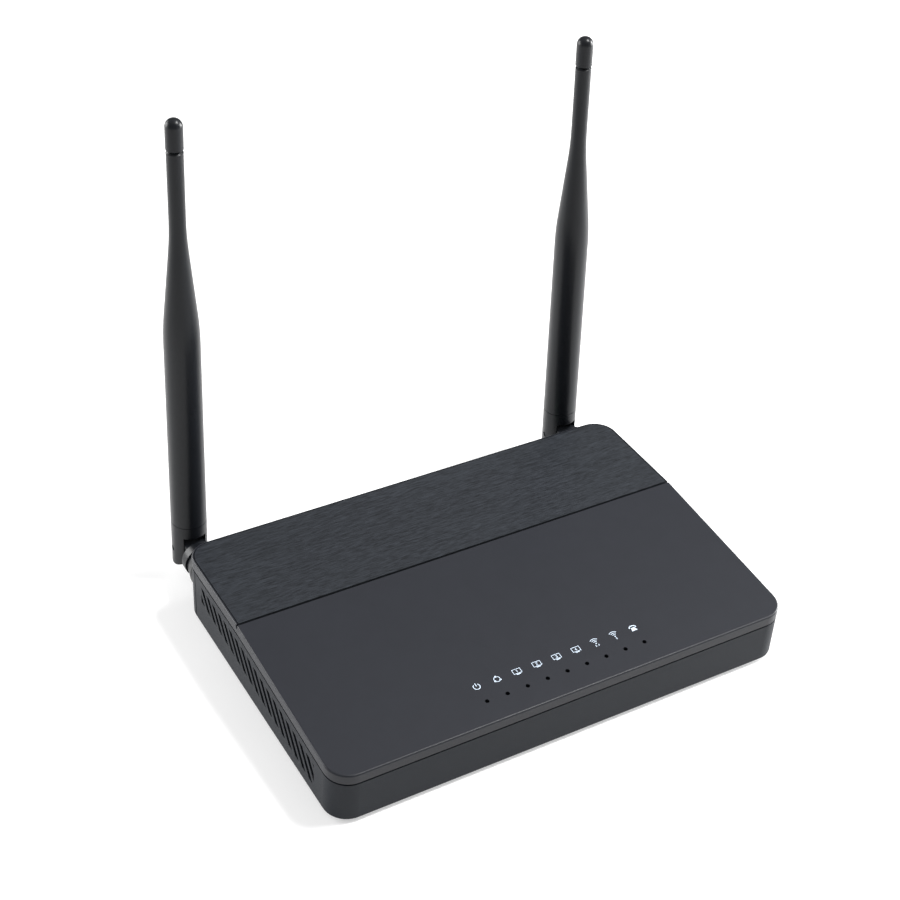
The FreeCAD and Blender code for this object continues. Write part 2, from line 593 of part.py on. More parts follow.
def make_jack_contacts():
    """Spring contacts: eight in each network jack and four in the telephone jack."""
    strips = []
    for number, (kind, x) in enumerate(PORTS[:5]):
        count = 8 if kind == "lan" else 4
        for k in range(count):
            place_x = "%s + %s * contact_pitch" % (x, k - (count - 1) / 2)
            strips.append(box("contact_%d_%d" % (number, k), "contact_width", "contact_length",
                              "contact_thick", place_x,
                              CASE_REAR + " - jack_recess - contact_setback - contact_length / 2",
                              BOARD_TOP + " + %s_mouth_low + %s_mouth_height - contact_drop"
                              % (kind, kind)))
    return keep("jack_contacts", group("jack_contacts", strips))


def make_fibre_adapter():
    """Square fibre socket with a guide sleeve for the plug's ferrule on its axis."""
    front = CASE_REAR + " - jack_recess"
    body = box("fibre_block", "fibre_width", "fibre_length", "fibre_height", "fibre_x",
               front + " - fibre_length / 2", BOARD_TOP)
    mouth = box("fibre_mouth", "fibre_mouth_width", "fibre_mouth_depth + 0.01", "fibre_mouth_height",
                "fibre_x", front + " - fibre_mouth_depth / 2",
                "foot_height + ferrule_z - fibre_mouth_height / 2")
    key = box("fibre_key", "fibre_key_width", "fibre_mouth_depth + 0.01", "fibre_key_height + 0.2",
              "fibre_x", front + " - fibre_mouth_depth / 2",
              "foot_height + ferrule_z + fibre_mouth_height / 2 - 0.2")
    keep("fibre_adapter", cut("fibre_adapter", body, [mouth, key]))
    start = front + " - fibre_mouth_depth"
    tube = rod("ferrule_tube", "ferrule_radius", "ferrule_length", "fibre_x", start,
               "foot_height + ferrule_z", "y")
    bore = rod("ferrule_bore", "ferrule_radius - ferrule_wall", "ferrule_length", "fibre_x",
               start + " + ferrule_end", "foot_height + ferrule_z", "y")
    return keep("ferrule_sleeve", cut("ferrule_sleeve", tube, [bore]))


def make_power_jack():
    """Round-bored power inlet with its centre pin."""
    front = CASE_REAR + " - jack_recess"
    middle = BOARD_TOP + " + power_height / 2"
    body = box("power_block", "power_width", "power_length", "power_height", "power_x",
               front + " - power_length / 2", BOARD_TOP)
    bore = rod("power_bore_cut", "power_bore", "power_bore_depth + 1", "power_x",
               front + " - power_bore_depth", middle, "y")
    keep("power_jack", cut("power_jack", body, [bore]))
    pin = rod("power_pin", "power_pin", "power_pin_length - 0.5", "power_x",
              front + " - power_bore_depth", middle, "y")
    return keep("power_pin", pin)


def make_button(kind):
    """A capped plunger with a flange behind the panel and a stem that enters its switch."""
    x, z = BUTTONS[kind], "foot_height + button_z"
    radius, reach = kind + "_cap_radius", kind + "_cap_reach"
    flange_y = CASE_REAR + " - wall - flange_gap - flange_thick"
    stem = "min(button_stem; %s_cap_radius)" % kind
    cap = rod(kind + "_cap", radius, "wall + flange_gap + flange_thick + " + reach, x, flange_y, z, "y")
    flange = rod(kind + "_flange", radius + " + flange_extra", "flange_thick", x, flange_y, z, "y")
    shank = rod(kind + "_shank", stem, "stem_length", x, flange_y + " - stem_length", z, "y")
    keep(kind + "_button", fuse(kind + "_button", [cap, flange, shank]))
    front = flange_y + " - %s_travel - switch_gap" % kind
    block = box(kind + "_block", "switch_width", "switch_length",
                "button_z + switch_cover - board_z - board_thick", x,
                front + " - switch_length / 2", BOARD_TOP)
    bore = rod(kind + "_bore", stem + " + stem_gap", "switch_bore + 0.1", x, front + " - switch_bore", z,
               "y")
    return keep(kind + "_switch", cut(kind + "_switch", block, [bore]))


# ------------------------------------------------------------ board and electronics
def make_board():
    """Main board with screw holes and two clearances over the keyholes."""
    board = box("board_blank", "board_length", "board_width", "board_thick", "0", "case_y",
                "foot_height + board_z")
    holes = [rod("board_hole_%d" % k, "board_hole_radius", "10", x, "case_y + " + y, "foot_height")
             for k, (x, y) in enumerate(BOARD_CORNERS)]
    holes += [rod("keyhole_clear_%d" % k, "keyhole_clearance", "20", x,
                  "case_y + keyhole_y - keyhole_length / 2", "foot_height")
              for k, x in enumerate(("keyhole_x", "-keyhole_x"))]
    return keep("main_board", cut("main_board", board, holes))


def make_screws(kind, corners, seat, head_down):
    """Cross-recessed screws whose heads bear on the seat, from above or from below."""
    screws = []
    head_height, length = kind + "_head_height", kind + "_screw_length"
    head_low = "%s - %s" % (seat, head_height) if head_down else seat
    shank_low = seat if head_down else "%s - %s" % (seat, length)
    top_of_head = "%s + %s" % (seat, head_height)
    recess_low = head_low + " - 0.5" if head_down else top_of_head + " - recess_deep"
    for k, (x, y) in enumerate(corners):
        name, y = "%s_screw_%d" % (kind, k), "case_y + " + y
        head = rod(name + "_head", kind + "_head_radius", head_height, x, y, head_low)
        shank = rod(name + "_shank", kind + "_screw_radius", length, x, y, shank_low)
        arm = "1.1 * %s_head_radius" % kind
        cross = [box(name + "_slot_a", arm, "recess_wide", "recess_deep + 0.5", x, y, recess_low),
                 box(name + "_slot_b", "recess_wide", arm, "recess_deep + 0.5", x, y, recess_low)]
        screws.append(cut(name, fuse(name + "_blank", [head, shank]), cross))
    return keep(kind + "_screws", group(kind + "_screws", screws))


def block(name, raised="0"):
    """A part from the BLOCKS list, standing on the board or raised above it."""
    return box(name + "_block", name + "_length", name + "_width", name + "_height", name + "_x",
               "case_y + %s_y" % name, BOARD_TOP + " + " + raised)


def make_heat_sink():
    """Base plate on the thermal pad, with nine upright fins across it."""
    raised = "processor_height + thermal_pad_height"
    pieces = [block("sink_base", raised)]
    for k in range(9):
        pieces.append(box("sink_fin_%d" % k, "sink_base_length", "fin_thick", "fin_height", "sink_base_x",
                          "case_y + sink_base_y + %d * fin_pitch" % (k - 4), BOARD_TOP + " + " + raised))
    return keep("heat_sink", fuse("heat_sink", pieces))


def make_shield(name):
    """Folded cover over a radio chip, open underneath."""
    inside = box(name + "_inside", name + "_length - 2 * shield_wall", name + "_width - 2 * shield_wall",
                 name + "_height - shield_wall", name + "_x", "case_y + %s_y" % name, BOARD_TOP)
    return keep(name, cut(name + "_can", block(name), [inside]))


def make_components():
    """Processor with pad and heat sink, memory, shields, transformers and supply parts."""
    keep("processor", block("processor"))
    keep("thermal_pad", block("thermal_pad", "processor_height"))
    make_heat_sink()
    make_shield("radio_shield_left")
    make_shield("radio_shield_right")
    sets = {
        "memory_chips": ("memory_large", "memory_small"),
        "radio_chips": ("radio_chip_left", "radio_chip_right"),
        "lan_transformers": ("transformer_left", "transformer_right"),
        "power_inductors": ("inductor_rear_left", "inductor_rear_right", "inductor_front"),
        "antenna_connectors": ("coax_left", "coax_right"),
    }
    for label, names in sets.items():
        keep(label, group(label, [block(name) for name in names]))
    cans = [rod(name, name + "_radius", name + "_height", name + "_x", "case_y + %s_y" % name, BOARD_TOP)
            for name in CANS]
    keep("capacitors", group("capacitors", cans))
    nose = rod("module_nose", "nose_radius", "nose_length + 0.5", "optical_module_x",
               "case_y + optical_module_y - optical_module_width / 2 - nose_length",
               "foot_height + ferrule_z - nose_drop", "y")
    return keep("optical_module", fuse("optical_module_solid", [block("optical_module"), nose]))


def make_indicators():
    """Nine small lamps on the board and one clear guide with a stem up to each hole."""
    lamps, stems = [], []
    lamp_top = BOARD_TOP + " + led_height + guide_air"
    for k in range(9):
        x = "led_x + %d * led_pitch" % (k - 4)
        lamps.append(box("lamp_%d" % k, "led_size", "led_size", "led_height", x, "case_y + led_y",
                         BOARD_TOP))
        stems.append(rod("stem_%d" % k, "guide_radius", "40", x, "case_y + led_y", lamp_top))
    keep("indicator_lamps", group("indicator_lamps", lamps))
    bar = box("guide_bar", "8 * led_pitch + 2 * guide_bar_width", "guide_bar_width", "guide_bar_height",
              "led_x", "case_y + led_y", "foot_height + guide_bar_z")
    solid = fuse("guide_solid", [bar] + stems)
    return keep("light_guide", common("light_guide_cut", solid, below_top("guide_top", "guide_drop", "0")))


def make_feet():
    """Four rubber discs set into the floor."""
    discs = [rod("foot_%d" % k, "foot_radius", "foot_height + foot_recess - seat_gap", x,
                 "case_y + " + y, "0") for k, (x, y) in enumerate(FEET)]
    return keep("rubber_feet", group("rubber_feet", discs))


def eased_path(corners, bends):
    """Edges of straight runs joined by tangent arcs; bends holds one radius per corner."""
    edges, start = [], corners[0]
    for before, here, after, bend in zip(corners, corners[1:], corners[2:], bends):
        inward = (before - here).normalize()
        outward = (after - here).normalize()
        half = inward.getAngle(outward) / 2
        reach = bend / math.tan(half)
        first, last = here + inward * reach, here + outward * reach
        centre = here + (inward + outward).normalize() * (bend / math.sin(half))
        middle = centre + (here - centre).normalize() * bend
        edges.append(Part.LineSegment(start, first).toShape())
        edges.append(Part.Arc(first, middle, last).toShape())
        start = last
    edges.append(Part.LineSegment(start, corners[-1]).toShape())
    return edges


def cable(label, points, radius, bends):
    """A round lead of constant thickness swept along an eased path."""
    corners = [Vec(*point) for point in points]
    path = Part.Wire(eased_path(corners, bends))
    ring = Part.Wire([Part.makeCircle(radius, corners[0], corners[1] - corners[0])])
    tube = path.makePipeShell([ring], True, False)
    expected = math.pi * radius ** 2 * path.Length
    if abs(tube.Volume / expected - 1) > 0.01:
        raise RuntimeError("%s: volume %.2f, expected %.2f" % (label, tube.Volume, expected))
    thing = doc.addObject("Part::Feature", label)
    thing.Shape = tube
    return thing


def make_fibre_pigtail():
    """Bare fibre lead looped from the socket back to the optical module."""
    end_gap, bend = 0.05, 13.5
    rear = size("case_y") + size("case_depth") / 2 - size("jack_recess") - size("fibre_length") - end_gap
    z = size("foot_height") + size("ferrule_z")
    module_z = z - size("nose_drop")
    module_end = size("case_y") + size("optical_module_y") - size("optical_module_width") / 2
    nose = module_end - size("nose_length") - end_gap
    loop = size("case_y") - 6.0
    right, left = size("fibre_x"), size("optical_module_x")
    points = [(right, rear, z), (right, loop, z), (left, loop, module_z), (left, nose, module_z)]
    return keep("fibre_pigtail", cable("fibre_pigtail", points, size("fibre_lead_radius"), (bend, bend)))


def make_antenna_lead(side, sign):
    """Thin coaxial lead from the hollow shaft's inner end down to its socket on the board."""
    shaft_end = size("case_y") + size("case_depth") / 2 - size("wall") - size("shaft_inside") - 0.3
    x, z = sign * size("antenna_x"), size("foot_height") + size("antenna_z")
    board = size("foot_height") + size("board_z") + size("board_thick")
    end_x, end_y = sign * size("coax_x"), size("case_y") + 22.0
    points = [(x, shaft_end, z), (x, shaft_end - 10.0, z), (sign * 80.0, shaft_end - 20.0, z),
              (end_x, end_y + 10.0, board + 4.0), (end_x, end_y, board + 1.9)]
    label = side + "_antenna_lead"
    return keep(label, cable(label, points, size("coax_lead_radius"), (7.0, 6.0, 5.0)))


def make_plate():
    """Blank rating plate let into the underside."""
    return keep("rating_plate", box("rating_plate", "plate_length", "plate_width", "plate_thick", "0",
                                    "case_y", "foot_height"))


# -------------------------------------------------------------------- antennas
# Each antenna is drawn with the swivel axis along +Y from the case's rear wall, and
# then set in place, leaning a little about that axis.
def on_swivel(thing, sign, lean=0.0):
    """Move a finished piece from the swivel's own frame to its side of the case."""
    x = "antenna_x" if sign > 0 else "-antenna_x"
    return place(thing, x, CASE_REAR, "foot_height + antenna_z", lean, Vec(0, 1, 0))


def make_antenna_socket(side, sign):
    """Fixed tapered socket whose root follows the rounded corner of the case."""
    x = "antenna_x" if sign > 0 else "-antenna_x"
    z = "foot_height + antenna_z"
    root = rod(side + "_root", "socket_radius", "corner_radius / 2 + seat_gap", x,
               CASE_REAR + " - corner_radius / 2", z, "y")
    wall_face = plan_prism(side + "_wall_face", "-seat_gap", "foot_height", "foot_height + 40")
    taper = cone(side + "_taper", "socket_radius", "socket_tip_radius", "socket_length - seat_gap", x,
                 CASE_REAR + " + seat_gap", z, "y")
    spigot = rod(side + "_spigot", "spigot_radius", "spigot_inside + 1", x,
                 CASE_REAR + " - spigot_inside", z, "y")
    bore = rod(side + "_bore", "shaft_radius + shaft_gap", "20", x, CASE_REAR + " - 10", z, "y")
    outside = cut(side + "_socket_root", root, [wall_face])
    solid = fuse(side + "_socket_solid", [outside, taper, spigot])
    return keep(side + "_antenna_socket", cut(side + "_socket", solid, [bore]))


def make_knuckle(side, sign, lean):
    """Hollow turning shaft with a collar outside and a flat tongue for the hinge pin."""
    inner_end = "-wall - shaft_inside"
    shaft = rod(side + "_shaft", "shaft_radius", "wall + shaft_inside + collar_start + 1", "0", inner_end,
                "0", "y")
    collar = rod(side + "_collar", "collar_radius", "collar_end - collar_start", "0", "collar_start", "0",
                 "y")
    tongue = box(side + "_tongue", "tongue_thick", "pivot_back - collar_end + 0.5", "2 * tongue_radius",
                 "0", "(pivot_back + collar_end - 0.5) / 2", "-tongue_radius")
    tip = rod(side + "_tongue_tip", "tongue_radius", "tongue_thick", "-tongue_thick / 2", "pivot_back",
              "0", "x")
    solid = fuse(side + "_knuckle_solid", [shaft, collar, tongue, tip])
    pin_hole = rod(side + "_pin_hole", "pin_radius + pin_gap", "30", "-15", "pivot_back", "0", "x")
    lead_hole = rod(side + "_lead_hole", "lead_hole_radius", "wall + shaft_inside + collar_end", "0",
                    inner_end + " - 1", "0", "y")
    seat_y = "-wall - clip_seat - clip_thick"
    seat_outer = rod(side + "_seat_outer", "shaft_radius + 1", "clip_thick + 2 * clip_play", "0",
                     seat_y + " - clip_play", "0", "y")
    seat_inner = rod(side + "_seat_inner", "shaft_radius - clip_groove", "clip_thick + 2", "0",
                     seat_y + " - 1", "0", "y")
    seat = cut(side + "_clip_seat", seat_outer, [seat_inner])
    knuckle = cut(side + "_knuckle", solid, [pin_hole, lead_hole, seat])
    keep(side + "_antenna_knuckle", on_swivel(knuckle, sign, lean))

    disc = rod(side + "_clip_disc", "clip_radius", "clip_thick", "0", seat_y, "0", "y")
    hole = rod(side + "_clip_hole", "shaft_radius - clip_groove + clip_play", "clip_thick + 2", "0",
               seat_y + " - 1", "0", "y")
    mouth = box(side + "_clip_mouth", "clip_mouth", "4", "10", "0", seat_y, "-10")
    clip = cut(side + "_clip", disc, [hole, mouth])
    return keep(side + "_retaining_clip", on_swivel(clip, sign, lean))


def make_fork(side, sign, lean):
    """Forked foot of the antenna, rounded below the pin, with a plug that enters the whip."""
    barrel = rod(side + "_fork_barrel", "fork_radius", "fork_top + fork_drop + 20", "0", "pivot_back",
                 "-fork_drop - 20")
    end_disc = rod(side + "_fork_end", "fork_radius", "40", "-20", "pivot_back", "-fork_drop", "x")
    upper = box(side + "_fork_upper", "40", "40", "fork_top + fork_drop", "0", "pivot_back",
                "-fork_drop")
    mask = fuse(side + "_fork_mask", [end_disc, upper])
    plug = rod(side + "_fork_plug", "fork_spigot_radius", "fork_spigot_height + 1", "0", "pivot_back",
               "fork_top - 1")
    solid = fuse(side + "_fork_solid", [common(side + "_fork_body", barrel, mask), plug])
    slot = box(side + "_fork_slot", "slot_width", "40", "40 + slot_top", "0", "pivot_back", "-40")
    eye = rod(side + "_fork_eye", "pin_radius", "30", "-15", "pivot_back", "0", "x")
    keep(side + "_antenna_fork", on_swivel(cut(side + "_fork", solid, [slot, eye]), sign, lean))
    pin = rod(side + "_pin_rod", "pin_radius", "2 * pin_half", "-pin_half", "pivot_back", "0", "x")
    return keep(side + "_hinge_pin", on_swivel(group(side + "_pin", [pin]), sign, lean))


def make_whip(side, sign, lean):
    """Hollow tapering sleeve, open where the fork's plug and the cap's plug enter."""
    start, end = size("fork_top") + size("whip_seam"), size("cap_start") - size("whip_seam")
    low, high, bend = size("taper_low"), size("taper_high"), size("taper_round")
    stem, bevel = size("stem_radius"), size("cap_bevel")
    outer = [(size("fork_radius"), start), (size("whip_radius"), low), (stem, high), (stem, end - bevel)]
    bore, stem_bore = size("fork_spigot_radius") + size("plug_gap"), stem - size("whip_wall")
    inner = [(bore, start), (bore, low), (stem_bore, high), (stem_bore, end)]
    outer_side = eased_path([Vec(radius, 0, z) for radius, z in outer], (bend, bend))
    inner_side = eased_path([Vec(radius, 0, z) for radius, z in inner], (bend, bend))
    top = Vec(stem - bevel, 0, end)
    ends = [Part.LineSegment(Vec(bore, 0, start), Vec(size("fork_radius"), 0, start)).toShape(),
            Part.LineSegment(Vec(stem, 0, end - bevel), top).toShape(),
            Part.LineSegment(top, Vec(stem_bore, 0, end)).toShape()]
    outline = Part.Wire(Part.__sortEdges__(outer_side + inner_side + ends))
    sleeve = Part.Face(outline).revolve(Vec(0, 0, 0), Vec(0, 0, 1), 360)
    sleeve.translate(Vec(0, size("pivot_back"), 0))
    whip = doc.addObject("Part::Feature", side + "_whip")
    whip.Shape = sleeve
    whip_in_group = group(side + "_whip_placed", [whip])
    return keep(side + "_antenna_whip", on_swivel(whip_in_group, sign, lean))


def make_cap(side, sign, lean):
    """Domed end cap with a plug; its lower edge and the whip's top edge form a groove."""
    body = doc.addObject("PartDesign::Body", side + "_cap_body")
    place(body, "0", "pivot_back", "0")
    sketch = new_sketch(body, "XZ_Plane", side + "_cap_outline")
    plug_radius = "stem_radius - whip_wall - plug_gap"
    draw_polygon(sketch, [
        ("0", "cap_start - cap_plug"),
        (plug_radius, "cap_start - cap_plug"),
        (plug_radius, "cap_start"),
        ("cap_radius - cap_bevel", "cap_start"),
        ("cap_radius", "cap_start + cap_bevel"),
        ("cap_radius", "whip_tip"),
        ("0", "whip_tip"),
    ])
    turned = body.newObject("PartDesign::Revolution", side + "_cap_turned")
    turned.Profile = sketch
    turned.ReferenceAxis = (sketch, ["V_Axis"])
    turned.Angle = 360
    doc.recompute()
    rim = ["Edge%d" % (number + 1) for number, edge in enumerate(turned.Shape.Edges)
           if edge.BoundBox.ZMin > turned.Shape.BoundBox.ZMax - 0.01 and edge.BoundBox.XLength > 1]
    dome = body.newObject("PartDesign::Fillet", side + "_cap_dome")
    dome.Base = (turned, rim)
    bind(dome, Radius="cap_round")
    cap = group(side + "_cap", [body])
    return keep(side + "_antenna_cap", on_swivel(cap, sign, lean))


def make_element(side, sign, lean):
    """Straight radiating rod that stands on the fork's plug inside the whip."""
    foot = "fork_top + fork_spigot_height"
    element = rod(side + "_element_rod", "element_radius", "element_end - (%s)" % foot, "0", "pivot_back",
                  foot)
    placed = group(side + "_element", [element])
    return keep(side + "_antenna_element", on_swivel(placed, sign, lean))


def make_antenna(side, sign):
    """Everything on one swivel: socket, knuckle, clip, fork, pin, whip, cap and element."""
    lean = size(side + "_lean")
    make_antenna_socket(side, sign)
    for make in (make_knuckle, make_fork, make_whip, make_cap, make_element):
        make(side, sign, lean)


# ------------------------------------------------------------------- build all
def build():
    make_base_shell()
    make_top_cover()
    make_brushed_panel()
    make_rear_panel()
    make_feet()
    make_plate()
    make_screws("case", CORNERS, "foot_height + counterbore_depth", True)
    make_board()
    make_screws("board", BOARD_CORNERS, BOARD_TOP, False)
    for number, x in enumerate(LAN_X, start=1):
        make_jack("lan_jack_%d" % number, "lan", x)
    make_jack("phone_jack", "phone", "phone_x")
    make_jack_contacts()
    make_fibre_adapter()
    make_power_jack()
    for kind in BUTTONS:
        make_button(kind)
    make_components()
    make_indicators()
    make_fibre_pigtail()
    for side, sign in (("left", -1), ("right", 1)):
        make_antenna(side, sign)
        make_antenna_lead(side, sign)
    doc.recompute()


def check_and_write():
    """Refuse a failed object or an open shape, then write one STEP file per sub-part."""
    for thing in doc.Objects:
        if "Invalid" in thing.State or "Error" in thing.State:
            raise RuntimeError("%s failed: %s" % (thing.Name, thing.State))
    os.makedirs("parts", exist_ok=True)
    for thing in PARTS:
        shape = thing.Shape
        if shape.isNull() or not shape.isValid() or not shape.Solids:
            raise RuntimeError("%s has no valid shape" % thing.Label)
        shape.exportStep(os.path.join("parts", thing.Label + ".step"))
        print("%-22s %2d solids %10.1f mm3" % (thing.Label, len(shape.Solids), shape.Volume))


build()
check_and_write()
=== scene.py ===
import json
import math

import bmesh
import bpy
from mathutils import Matrix, Vector
from mathutils.bvhtree import BVHTree


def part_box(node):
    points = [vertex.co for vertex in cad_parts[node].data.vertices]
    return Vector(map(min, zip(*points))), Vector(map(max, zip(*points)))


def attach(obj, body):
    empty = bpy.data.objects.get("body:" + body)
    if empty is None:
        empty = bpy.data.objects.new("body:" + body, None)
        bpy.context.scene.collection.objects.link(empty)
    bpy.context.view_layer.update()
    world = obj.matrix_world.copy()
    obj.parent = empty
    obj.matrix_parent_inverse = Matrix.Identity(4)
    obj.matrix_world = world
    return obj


MM = 0.001

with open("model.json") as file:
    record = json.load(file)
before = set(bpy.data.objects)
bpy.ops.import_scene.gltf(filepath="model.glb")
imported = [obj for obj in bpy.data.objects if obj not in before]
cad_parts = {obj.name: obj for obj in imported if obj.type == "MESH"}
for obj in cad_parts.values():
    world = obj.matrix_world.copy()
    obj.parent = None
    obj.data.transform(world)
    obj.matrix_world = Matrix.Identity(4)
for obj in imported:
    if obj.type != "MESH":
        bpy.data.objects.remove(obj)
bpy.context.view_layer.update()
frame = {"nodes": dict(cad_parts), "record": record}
NODES = frame["nodes"]


# ------------------------------------------------------------------ materials
NOISE_LOW = 0.3
NOISE_HIGH = 0.7
PLAIN = (1, 1, 1)


class Shader:
    """A node material under construction, with short calls for the nodes used here."""

    def __init__(self, name, colour, roughness, metallic=0.0, specular=0.5):
        self.material = bpy.data.materials.new(name)
        self.material.use_nodes = True
        self.tree = self.material.node_tree
        self.surface = self.tree.nodes["Principled BSDF"]
        self.surface.inputs["Base Color"].default_value = (*colour, 1.0)
        self.surface.inputs["Roughness"].default_value = roughness
        self.surface.inputs["Metallic"].default_value = metallic
        self.surface.inputs["Specular IOR Level"].default_value = specular
        self.material.diffuse_color = (*colour, 1.0)

    def node(self, kind, **settings):
        node = self.tree.nodes.new(kind)
        for key, value in settings.items():
            setattr(node, key, value)
        return node

    def link(self, source, target):
        self.tree.links.new(source, target)

    def place(self, stretch=PLAIN):
        """Object coordinates in metres, scaled along each axis."""
        coordinates = self.node("ShaderNodeTexCoord")
        mapping = self.node("ShaderNodeMapping")
        mapping.inputs["Scale"].default_value = stretch
        self.link(coordinates.outputs["Object"], mapping.inputs["Vector"])
        return mapping.outputs["Vector"]

    def noise(self, size, stretch=PLAIN, detail=3.0, rough=0.55):
        """Noise whose grains are about the given size in millimetres."""
        texture = self.node("ShaderNodeTexNoise")
        texture.inputs["Scale"].default_value = 1.0 / (size * MM)
        texture.inputs["Detail"].default_value = detail
        texture.inputs["Roughness"].default_value = rough
        self.link(self.place(stretch), texture.inputs["Vector"])
        return texture.outputs["Fac"]

    def ramp(self, value, low, high, start=0.35, end=0.65):
        """Map a value onto a range of greys or colours."""
        ramp = self.node("ShaderNodeValToRGB")
        ramp.color_ramp.elements[0].position = start
        ramp.color_ramp.elements[1].position = end
        ramp.color_ramp.elements[0].color = (*low, 1.0)
        ramp.color_ramp.elements[1].color = (*high, 1.0)
        self.link(value, ramp.inputs["Fac"])
        return ramp.outputs["Color"]

    def spread(self, value, low, high):
        """Map the usual range of a noise linearly onto low..high."""
        spread = self.node("ShaderNodeMapRange")
        spread.inputs["From Min"].default_value = NOISE_LOW
        spread.inputs["From Max"].default_value = NOISE_HIGH
        spread.inputs["To Min"].default_value = low
        spread.inputs["To Max"].default_value = high
        self.link(value, spread.inputs["Value"])
        return spread.outputs["Result"]

    def bump(self, value, strength, distance):
        """Raise the surface by a value; distance in millimetres."""
        bump = self.node("ShaderNodeBump")
        bump.inputs["Strength"].default_value = strength
        bump.inputs["Distance"].default_value = distance * MM
        self.link(value, bump.inputs["Height"])
        self.link(bump.outputs["Normal"], self.surface.inputs["Normal"])

    def colour_from(self, socket):
        self.link(socket, self.surface.inputs["Base Color"])

    def roughness_from(self, socket):
        self.link(socket, self.surface.inputs["Roughness"])


def shade(colour, factor):
    return tuple(channel * factor for channel in colour)


def moulded(name, colour, roughness=0.5, grain=0.35, depth=0.02, vary=0.05, specular=0.22):
    """Moulded plastic with an even spark-eroded grain and a faint cloudiness."""
    shader = Shader(name, colour, roughness, specular=specular)
    clouds = shader.noise(9.0, detail=4.0)
    shader.colour_from(shader.ramp(clouds, shade(colour, 1 - vary / 2), shade(colour, 1 + vary / 2)))
    fine = shader.noise(grain, detail=2.0)
    shader.roughness_from(shader.spread(fine, roughness - 0.05, roughness + 0.07))
    shader.bump(fine, 0.35, depth)
    return shader.material


HAIRLINE_WIDTH = 0.32
HAIRLINE_STRETCH = 0.07
BROAD_STREAK_WIDTH = 0.9
BROAD_STREAK_STRETCH = 0.02
BROAD_STREAK_SHARE = 0.12


def brushed(name, colour):
    """Hairline finish: fine streaks along the case's width, widths in millimetres."""
    shader = Shader(name, colour, 0.42, specular=0.24)
    fine = shader.noise(HAIRLINE_WIDTH, stretch=(HAIRLINE_STRETCH, 1.0, 1.0), detail=3.0, rough=0.7)
    broad = shader.noise(BROAD_STREAK_WIDTH, stretch=(BROAD_STREAK_STRETCH, 1.0, 1.0), detail=2.0)
    mix = shader.node("ShaderNodeMix", data_type="FLOAT")
    mix.inputs["Factor"].default_value = BROAD_STREAK_SHARE
    shader.link(fine, mix.inputs["A"])
    shader.link(broad, mix.inputs["B"])
    streaks = mix.outputs["Result"]
    shader.colour_from(shader.ramp(streaks, shade(colour, 0.40), shade(colour, 1.60), 0.36, 0.64))
    shader.roughness_from(shader.spread(streaks, 0.36, 0.50))
    shader.bump(streaks, 0.15, 0.02)
    return shader.material


def metal(name, colour, roughness, streak=PLAIN):
    """Plated or drawn metal, with streaks along one axis where asked."""
    shader = Shader(name, colour, roughness, metallic=1.0)
    grain = shader.noise(0.3, stretch=streak, detail=3.0)
    shader.colour_from(shader.ramp(grain, shade(colour, 0.85), shade(colour, 1.1)))
    shader.roughness_from(shader.spread(grain, roughness * 0.8, roughness * 1.25))
    shader.bump(grain, 0.15, 0.01)
    return shader.material


BOARD_GREEN = (0.012, 0.10, 0.04)
BOARD_LIGHT_GREEN = (0.014, 0.13, 0.05)
TRACK_GREEN = (0.03, 0.20, 0.08)


def circuit_board(name):
    """Green solder mask over faint copper tracks."""
    shader = Shader(name, (0.012, 0.11, 0.045), 0.32, specular=0.55)
    tracks = shader.node("ShaderNodeTexBrick")
    tracks.inputs["Scale"].default_value = 90.0
    tracks.inputs["Mortar Size"].default_value = 0.06
    tracks.inputs["Color1"].default_value = (*BOARD_GREEN, 1)
    tracks.inputs["Color2"].default_value = (*BOARD_LIGHT_GREEN, 1)
    tracks.inputs["Mortar"].default_value = (*TRACK_GREEN, 1)
    shader.link(shader.place(), tracks.inputs["Vector"])
    shader.colour_from(tracks.outputs["Color"])
    shader.bump(tracks.outputs["Fac"], 0.3, 0.03)
    return shader.material


def clear(name, colour, transmission, roughness):
    """Clear or milky moulding."""
    shader = Shader(name, colour, roughness)
    shader.surface.inputs["Transmission Weight"].default_value = transmission
    shader.surface.inputs["IOR"].default_value = 1.49
    clouds = shader.noise(1.5)
    shader.roughness_from(shader.spread(clouds, roughness * 0.8, roughness * 1.2))
    return shader.material


def ink(name, colour):
    """Screen-printed ink, slightly uneven."""
    shader = Shader(name, colour, 0.55)
    patches = shader.noise(0.25, detail=3.0)
    shader.colour_from(shader.ramp(patches, shade(colour, 0.82), colour))
    shader.roughness_from(shader.spread(patches, 0.45, 0.65))
    return shader.material


CASE_GREY = (0.0115, 0.0138, 0.0180)
COVER_GREY = (0.0138, 0.0150, 0.0194)
PANEL_GREY = (0.0146, 0.0168, 0.0206)
ANTENNA_GREY = (0.0060, 0.0070, 0.0090)

